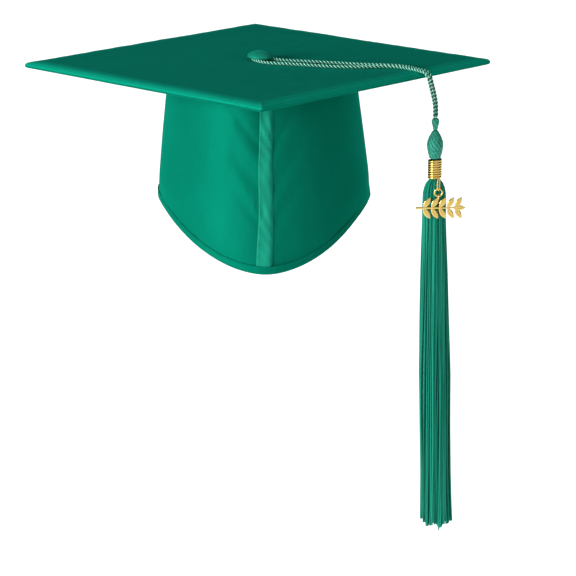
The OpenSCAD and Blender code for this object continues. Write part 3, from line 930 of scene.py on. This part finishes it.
def make_crown():
    """The satin oval under the board and the lining under it, gathered toward the wall."""
    for name, node, inset, height, material, slot in (
            ("crown_satin", "crown_panel", 0.9, wall_top + 0.55, SATIN, "satin"),
            ("crown_lining_cloth", "crown_lining", 2.9, wall_top - 0.3, LINING, "lining")):
        a, b = crown_a - inset, crown_b - inset
        rings = []
        shares = np.linspace(1, 0.12, 34)
        angle = np.arange(180) / 180 * FULL_TURN
        for share in shares:
            x, y = a * share * np.sin(angle), b * share * np.cos(angle)
            pull = np.sin(angle * 60 + 2 * np.sin(angle * 7)) * bump(share, 1, 0.12) * 0.16
            z = height + pull - 0.22 + 0.2 * waves(x, y, 91, 70, 22)
            rings.append(np.column_stack([x, y, np.minimum(z, height)]))
        shape = Shape()
        shape.grid(rings, shares * 76, np.arange(181) / 180 * 480, wrap_v=True)
        shape.close(rings[-1])
        piece = shape.make(name, material, "cap", slot, node)
        plan_uv(piece, 0)


make_walls()
make_front_strip()
make_binding()
make_crown()


# ---- button ----

# How far the button falls toward +X for each mm, and how much lower its rim is than the CAD's
BUTTON_TILT = 0.05
BUTTON_DROP = 0.9


def make_button():
    """Satin gathered over a domed core: smooth on top, pleated under its edge."""
    r, low, high = button_r, button_low[2] - BUTTON_DROP, button_high[2] - 0.2
    inner = 4.4
    waist = low + 1.05
    profile = [(inner, low + 0.75), (inner + 0.6, low + 0.1), (inner + 2, low + 0.02),
               (r - 1.6, low + 0.05)]
    profile += [(r - 1.0 + cos(a), waist + sin(a)) for a in np.radians(np.linspace(-80, 0, 7))]
    dome = high - low - 1.05
    profile += [(r * cos(a), waist + dome * sin(a)) for a in np.radians(np.linspace(8, 84, 14))]
    profile = np.array(profile)
    n = 144
    angle = np.arange(n) / n * FULL_TURN
    rise = (profile[:, 1] - low) / (high - low)
    pleats = np.sin(angle * 22 + 1.2 * np.sin(angle * 3))[None, :] * bump(rise, 0, 0.3)[:, None]
    ridges = waves(np.cos(angle) * 9, np.sin(angle) * 9, 95, 12, 5)[None, :] * (1 - rise)[:, None]
    radius = profile[:, 0][:, None] + 0.16 * pleats + 0.12 * ridges - 0.1
    x = button_at[0] + radius * np.cos(angle)
    y = button_at[1] + radius * np.sin(angle)
    z = profile[:, 1][:, None] + 0.05 * pleats - BUTTON_TILT * (x - button_at[0])
    points = np.stack([x, y, z], -1)
    # The button's satin is painted paler still through the shade attribute: painted light
    pale = 0.60
    shape = Shape()
    shape.grid(points, run_along(profile), np.arange(n + 1) / n * 60, wrap_v=True, shade=pale)
    shape.fan(points[-1], (button_at[0], button_at[1], high + 0.01), pale)
    piece = shape.make("button_satin", SATIN_PAINTED_PALER, "cap", "satin", "button_cover")
    plan_uv(piece, pi / 4)
    keep = profile[:, 0] > inner + 1
    form = Shape()
    reach = np.concatenate([[0.3], np.maximum(profile[keep, 0] - 0.75, 0.3)])
    heights = np.clip(np.concatenate([[profile[keep, 1][0]], profile[keep, 1]]), low + 0.5, high - 0.6)
    x = button_at[0] + reach[:, None] * np.cos(angle)[None, :]
    y = button_at[1] + reach[:, None] * np.sin(angle)[None, :]
    rows = np.stack([x, y, heights[:, None] - BUTTON_TILT * (x - button_at[0])], -1)
    form.grid(rows, np.arange(len(reach)), np.arange(n + 1), wrap_v=True)
    form.close(rows[0], rows[-1])
    form.make("button_form", CARD, "cap", "card", "button_core")


def make_winding():
    """Thread wound round the button's shank."""
    low, high = board_top - 0.2, button_low[2] + 0.3
    turns = 7
    a = np.linspace(0, turns * FULL_TURN, turns * 30 + 1)
    z = low + (high - low) * a / a[-1]
    reach = 3.1 + 0.9 * ((z - low) / (high - low)) ** 2
    path = np.stack([button_at[0] + reach * np.cos(a), button_at[1] + reach * np.sin(a), z], 1)
    shape = Shape()
    shape.tube(path, (high - low) / turns * 0.6, 8)
    shape.make("shank_winding", STITCH, "cap", "thread")


make_button()
make_winding()


# ---- tassel ----

def turned(name, slot, body, node, outline, columns, swell, girth, *ends):
    """Wound thread turned about the tassel's line; swell adds to the radius at each point."""
    angle = np.arange(columns) / columns * FULL_TURN
    height = np.broadcast_to(outline[:, 1][:, None], (len(outline), columns))
    radius = outline[:, 0][:, None] + swell(height, angle[None, :], outline[:, 0][:, None])
    points = np.stack([tassel_at[0] + radius * np.cos(angle), tassel_at[1] + radius * np.sin(angle),
                       height], -1)
    shape = Shape()
    shape.grid(points, outline[:, 1], np.arange(columns + 1) / columns * girth, wrap_v=True)
    shape.close(*(points[end] for end in ends))
    shape.make(name, WRAP, body, slot, node)


def profile_curve(points, count):
    """A smooth profile through a few (radius, height) points."""
    curve = smooth_path([(r, z, 0) for r, z in points], 0.05)
    pick = np.linspace(0, len(curve) - 1, count).round().astype(int)
    return curve[pick][:, :2]


def make_knot():
    """The cord's two runs end in a neat whipping of thread."""
    low, high = knot_low[2], knot_high[2]
    wide = (knot_high[0] - knot_low[0]) / 2
    profile = profile_curve([(1.1, high - 0.1), (1.9, high - 0.4), (wide - 0.35, high - 1.6),
                             (wide - 0.15, high - 3.0), (wide - 0.5, high - 4.6), (2.0, high - 6.2),
                             (1.75, low + 1.1), (1.7, low + 0.1)], 60)
    turns = 5.2

    def swell(z, angle, radius):
        wound = (z - low) / (high - low) * FULL_TURN * turns
        lead = np.cos(wound - angle)
        fine = np.cos(wound * 4 - 4 * angle)
        return (0.22 * np.abs(lead) ** 0.7 + 0.05 * fine - 0.18) * np.clip(radius / 2, 0, 1)

    turned("knot_whipping", "cord", "knot", "tassel_knot", profile, 40, swell, 15, 0, -1)


def make_head():
    """Thread laid side by side over the bead, leaning a little round it."""
    low, high = head_low[2], head_high[2]
    wide = (head_high[0] - head_low[0]) / 2
    profile = profile_curve([(1.2, high), (1.9, high - 0.5), (3.0, high - 2.2), (wide * 0.78, high - 5.2),
                             (wide * 0.95, high - 8.2), (wide, high - 10.8), (wide * 0.96, high - 13.4),
                             (wide * 0.84, low + 3.4), (wide * 0.72, low + 1.0), (wide * 0.68, low)], 84)
    yarns = 30

    def swell(z, angle, radius):
        wound = (z - low) * 0.05
        yarn = np.abs(np.sin((angle + wound) * yarns / 2)) ** 0.7
        return (0.14 * yarn - 0.14) * np.clip(radius / 3.5, 0.2, 1)

    turned("head_threads", "thread", "tassel", "head_wrap", profile, yarns * 8, swell, 36)


def make_coil():
    """Round gold wire wound closely round the neck, its ends tucked in."""
    turns = 8
    wire = (coil_high[2] - coil_low[2]) / (turns + 1) / 2
    reach = (coil_high[0] - coil_low[0]) / 2 - wire
    a = np.linspace(0, turns * FULL_TURN, turns * 40 + 1)
    z = coil_low[2] + wire + (coil_high[2] - coil_low[2] - 2 * wire) * a / a[-1]
    tuck = 1.1 * (1 - ease(a, 0, 0.7)) + 1.1 * ease(a, a[-1] - 0.7, a[-1])
    start = radians(70)
    path = np.stack([tassel_at[0] + (reach - tuck) * np.cos(a + start),
                     tassel_at[1] + (reach - tuck) * np.sin(a + start), z], 1)
    outward = path - np.array([tassel_at[0], tassel_at[1], 0])
    outward[:, 2] = 0
    outward /= np.linalg.norm(outward, axis=1)[:, None]
    shape = Shape()
    # The shade attribute paints shade in the grooves between the coil's turns
    shape.tube(path, wire * 1.04, 14, crest=outward)
    shape.make("coil_wire", COIL_GOLD, "tassel", "gold", "coil_band")


# The skirt's outline, as (height, radius), and its uneven foot, as (place across, how much shorter)
SKIRT_SHAPE = [(22.6, 3.6), (21.9, 4.3), (20.5, 5.6), (17.2, 7.1), (13.2, 7.9), (8.7, 8.1), (-9, 8.2),
               (-45, 9.2), (-83, 10.1), (-123, 11.1), (-200, 11.2), (-243, 12.1)]
TUFTS = [(-12, 7), (-5.4, 1.5), (-1.4, 5.5), (2.8, 0), (6.3, 5.2), (9.5, 3), (12, 5)]


def make_skirt():
    """Chainette strands bound under the coil: tight at the shoulders, loose and uneven lower down."""
    strands, thick = 290, 0.60
    rng = random.Random(7)
    heights, radii = np.array(SKIRT_SHAPE)[::-1].T
    tuft_at, tuft_up = np.array(TUFTS).T
    top, bottom = 24.5, skirt_foot
    rows = 50
    share = np.linspace(0, 1, rows) ** 1.25
    shape = Shape()
    golden = pi * (3 - sqrt(5))
    for k in range(strands):
        rho = sqrt((k + 0.5) / strands)
        phi = k * golden + rng.uniform(-0.06, 0.06)
        short = float(np.interp(rho * 12 * cos(phi), tuft_at, tuft_up)) + abs(rng.gauss(0, 0.9))
        z = top + (bottom + short - top) * share
        fall = top - z
        hang = ease(fall, 22, 150)
        free = ease(fall, 4, 60)
        lean = 5.3 * (fall / 267) ** 1.8
        sway_x, sway_y = (
            start + hang * rng.uniform(-0.7, 0.7)
            + free * 0.35 * np.sin(fall / rng.uniform(26, 60) + rng.uniform(0, 6)) for start in (lean, 0))
        reach = np.interp(z, heights, radii) + 0.3
        near_end = bump(z, z[-1], 7)
        flick = near_end * rng.uniform(-0.8, 0.8)
        width = np.minimum(thick, reach * 0.93 / sqrt(strands) * 1.12)
        spread = (reach - width * 0.6) * rho
        twist = 0.18 * np.sin(fall / 90 + 1.0)
        x = spread * np.cos(phi + twist) + sway_x + flick * 0.8
        y = spread * np.sin(phi + twist) + sway_y + flick * 0.5
        path = np.stack([tassel_at[0] + x, tassel_at[1] + y, z], 1)
        girth = width * (1 + 0.10 * np.sin(fall / rng.uniform(9, 16) + rng.uniform(0, 6)))
        girth = girth * (1 + 0.15 * near_end)
        shape.tube(path, girth, 5, turn=rng.uniform(0, 6) + fall / rng.uniform(60, 140), squash=0.85,
                   shade=rng.uniform(0.2, 0.8))
    shape.make("skirt_strands", THREAD, "tassel", "thread", "skirt")


def make_link():
    """The wire loop that hangs the charm's ring from the coil."""
    high = box_mm("charm_link")[1]
    x, y = (ring_low[0] + ring_high[0]) / 2, (ring_low[1] + ring_high[1]) / 2
    bottom, top, wide = ring_high[2] - 1.7, min(high[2], coil_low[2] + 2.4), 1.0
    middle, reach = (bottom + top) / 2, (top - bottom) / 2 - wide
    a = np.arange(48) / 48 * FULL_TURN
    across = wide * np.cos(a)
    z = middle + wide * np.sin(a) + reach * np.sign(np.sin(a))
    turn = radians(38)
    inward = (z - bottom) / (top - bottom) * 0.5
    path = np.stack([x + across * cos(turn), y + across * sin(turn) + inward, z], 1)
    shape = Shape()
    shape.loop(smooth_path(path, 0.35, closed=True), 0.95, 0.95, (-sin(turn), cos(turn), 0))
    shape.make("charm_link_loop", GOLD, "tassel", "gold", "charm_link")


# The charm's leaves, as in the CAD: length, width, thickness, pitch along the stem, slant from it, and gap
LEAF_L, LEAF_W, CHARM_T, LEAF_PITCH = 8.8, 3.8, 1.6, 5.6
LEAF_LEAN = radians(58)
LEAF_GAP = 0.3
EYE_R = 1.8


def leaf_points(base, tip, wide, thick):
    """A leaf from base to tip: rounded edges, a groove along its midrib and faint side veins."""
    base, tip = np.array(base, float), np.array(tip, float)
    length = np.linalg.norm(tip - base)
    along = (tip - base) / length
    across = np.array([-along[2], 0, along[0]])
    u = np.linspace(0, 1, 26)
    body = np.sin(np.pi * u ** 0.92) ** 0.85 * wide / 2 + 0.12
    angle = np.arange(20) / 20 * FULL_TURN
    c, sn = np.cos(angle), np.sin(angle)
    flat = np.sign(sn) * np.abs(sn) ** 0.55
    lift = 0.55 + 0.45 * np.sin(np.pi * u)
    vein = 0.12 * np.sin((u[:, None] * 7 - np.abs(c)[None, :] * 1.2) * FULL_TURN)
    vein = vein * (np.abs(c) < 0.8)[None, :]
    groove = 0.42 * bump(c[None, :], 0, 0.16) * np.sin(np.pi * np.clip(u * 1.05, 0, 1))[:, None]
    y = -flat[None, :] * thick / 2 * (lift[:, None] * (1 - groove) + vein)
    side = body[:, None] * c[None, :]
    return (base[None, None] + (u * length)[:, None, None] * along + side[..., None] * across
            + y[..., None] * np.array([0, 1, 0]))


def make_charm():
    """A laurel sprig with its eye, as the CAD has it, with modelled leaves."""
    mid = (charm_low + charm_high) / 2
    reach, depth = (charm_high[0] - charm_low[0]) / 2, (ring_low[1] + ring_high[1]) / 2
    centre_z = charm_low[2] + ((LEAF_L + LEAF_GAP) * sin(LEAF_LEAN) + 0.1)
    ring_x = (ring_low[0] + ring_high[0]) / 2
    first = ring_x - (LEAF_L + LEAF_GAP) * cos(LEAF_LEAN) - LEAF_PITCH
    end = mid[0] + reach
    leaves = []
    for k in range(5):
        for side in (-1, 1):
            way = np.array([cos(LEAF_LEAN), 0, side * sin(LEAF_LEAN)])
            base = np.array([first + LEAF_PITCH * k, depth, centre_z]) + LEAF_GAP * way
            leaves.append((base, base + LEAF_L * way))
    leaves.append(((end - LEAF_L, depth, centre_z), (end, depth, centre_z)))
    shape = Shape()
    for base, tip in leaves:
        points = leaf_points(base, tip, LEAF_W, CHARM_T)
        shape.grid(points, np.linspace(0, LEAF_L, len(points)), np.linspace(0, 9, points.shape[1] + 1),
                   wrap_v=True)
        shape.close(points[0], points[-1])
    stem = np.linspace(mid[0] - reach, end - LEAF_L + 1.5, 40)
    taper = 0.55 + 0.35 * ease(end - stem, 10, 35) + 0.25 * bump(stem, stem[0], 0.8)
    shape.tube(np.stack([stem, np.full(40, depth), np.full(40, centre_z)], 1), taper, 12)
    eye_z = charm_high[2] - 0.45 - EYE_R
    a = np.arange(36) / 36 * FULL_TURN
    eye = np.stack([np.full(36, ring_x), depth + EYE_R * np.cos(a), eye_z + EYE_R * np.sin(a)], 1)
    shape.loop(eye, 0.9, 0.9, (1, 0, 0))
    shape.make("laurel_charm", GOLD, "charm", "gold", "charm")


make_knot()
make_head()
make_coil()
make_skirt()
make_link()
make_charm()


# ---- stage and light ----

# The floor, in metres: how far it goes each way, and how far it is under the tassel's foot
FLOOR_REACH = 90.0
FLOOR_GAP = 0.045


def add_stage():
    """A pale floor, which glows more behind the object, so that its background is white."""
    size, low = FLOOR_REACH, skirt_foot * MM - FLOOR_GAP
    mesh = bpy.data.meshes.new("floor")
    mesh.from_pydata([(-size, -size, low), (size, -size, low), (size, size, low), (-size, size, low)], [],
                     [(0, 1, 2, 3)])
    floor = new_object("floor", mesh)
    n = Nodes("pale_floor")
    n.surface((0.90, 0.90, 0.90, 1), 0.95, Specular_IOR_Level=0.0, Emission_Color=(1, 1, 1, 1))
    behind = n.add("ShaderNodeSeparateXYZ", {0: n.place}).outputs[1]
    glow = n.add("ShaderNodeMapRange", {"Value": behind, "From Min": -0.6, "From Max": -0.1,
                                        "To Min": 0.38, "To Max": 0.92},
                 interpolation_type="SMOOTHSTEP").outputs[0]
    n.tree.links.new(glow, n.shader.inputs["Emission Strength"])
    mesh.materials.append(n.material)


def add_light(name, place, aim, size, power):
    """A rectangular lamp turned to face a point."""
    data = bpy.data.lights.new(name, "AREA")
    data.shape = "RECTANGLE"
    data.size, data.size_y = size
    data.energy = power
    lamp = new_object(name, data)
    lamp.location = place
    lamp.rotation_euler = (Vector(aim) - Vector(place)).to_track_quat("-Z", "Y").to_euler()


# The room's soft light: a least strength all round, and lobes of (direction, sharpness, strength)
SKY_LEAST = 0.02
SKY = [((0.08, -0.99, 0.08), 8, 0.66), ((0.24, -0.64, 0.73), 4, 0.70), ((0, 0.1, 0.99), 2, 0.15)]


def add_lights():
    """One key lamp from the left and a soft world of lobes round it."""
    add_light("key", (-1.85, -1.35, 0.48), (0, 0, 0.03), (1.2, 1.0), 57)
    world = bpy.data.worlds.new("studio")
    world.use_nodes = True
    sky = Tree(world.node_tree)
    way = sky.add("ShaderNodeTexCoord").outputs["Generated"]
    total = None
    for lobe, power, share in SKY:
        toward = sky.add("ShaderNodeVectorMath", {0: way, 1: lobe}, operation="DOT_PRODUCT")
        above = sky.math("MAXIMUM", toward.outputs["Value"], 0.0)
        glow = sky.math("MULTIPLY", sky.math("POWER", above, power), share)
        total = sky.math("ADD", glow, SKY_LEAST if total is None else total)
    background = sky.tree.nodes["Background"]
    background.inputs["Color"].default_value = (1, 1, 1, 1)
    sky.tree.links.new(total, background.inputs["Strength"])
    bpy.context.scene.world = world
    bpy.context.scene.view_settings.view_transform = "Standard"


add_stage()
add_lights()
